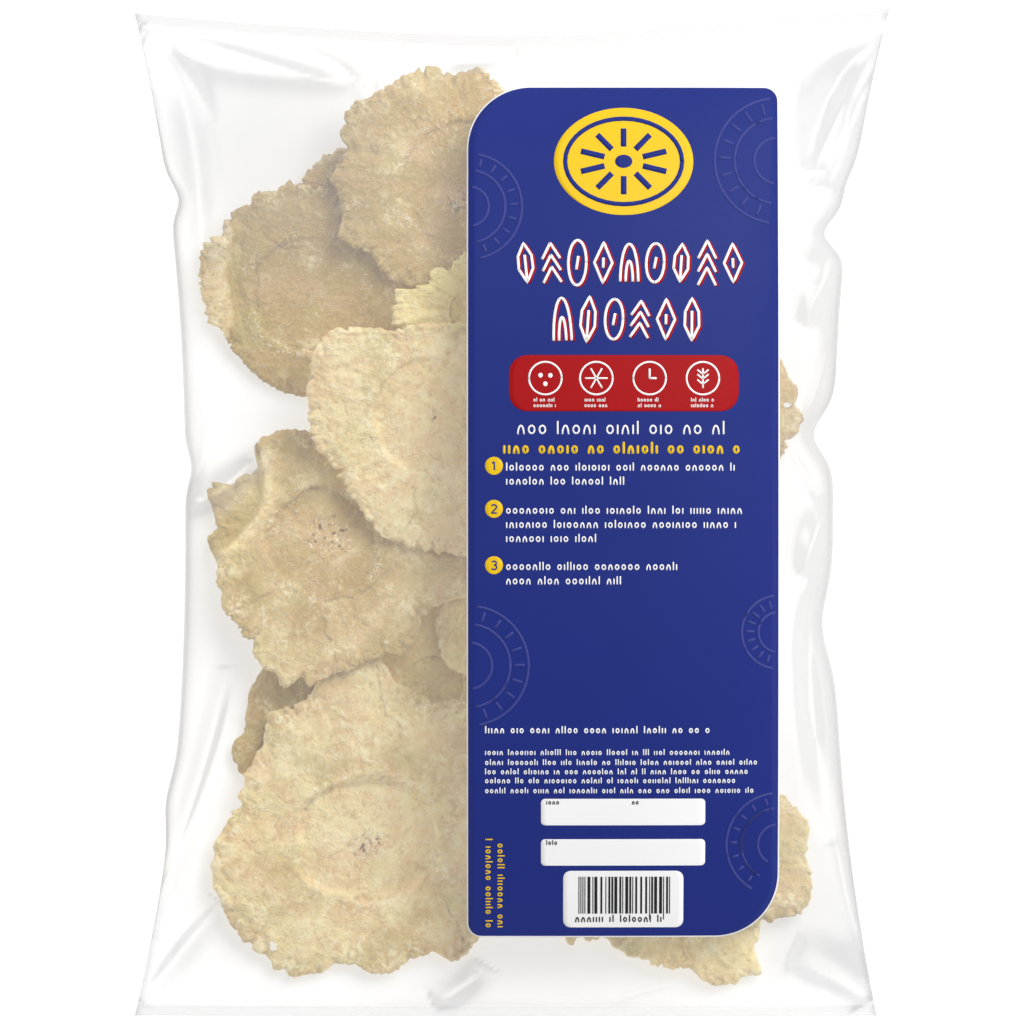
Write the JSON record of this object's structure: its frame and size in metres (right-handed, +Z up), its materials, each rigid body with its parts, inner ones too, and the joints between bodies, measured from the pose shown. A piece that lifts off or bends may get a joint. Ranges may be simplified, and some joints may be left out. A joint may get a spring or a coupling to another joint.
{
  "type": "bag of tostones",
  "caption": "Sealed clear film pillow bag of flattened fried plantain slices, lying on its back, with a tall paper label on its front.",
  "frame": {"origin": "bottom centre of the bounding box: on the floor under the middle of the bag", "axes": "+X to the right of the label seen upright, +Y towards the bag's top seal, +Z up out of the front sheet, which carries the label"},
  "size_m": [0.2286, 0.3048, 0.0509],
  "materials": {
    "clear_film": "thin clear polyethylene film, glossy and slightly milky, with soft folds",
    "label_paper": "semi-gloss printed sticker, deep blue with a thin white rim",
    "fried_plantain": "matt pale golden fried plantain, crumbly and cracked, with darker seeds"
  },
  "bodies": {
    "root": {"bag": "clear_film", "label": "label_paper"}
  },
  "joints": []
}
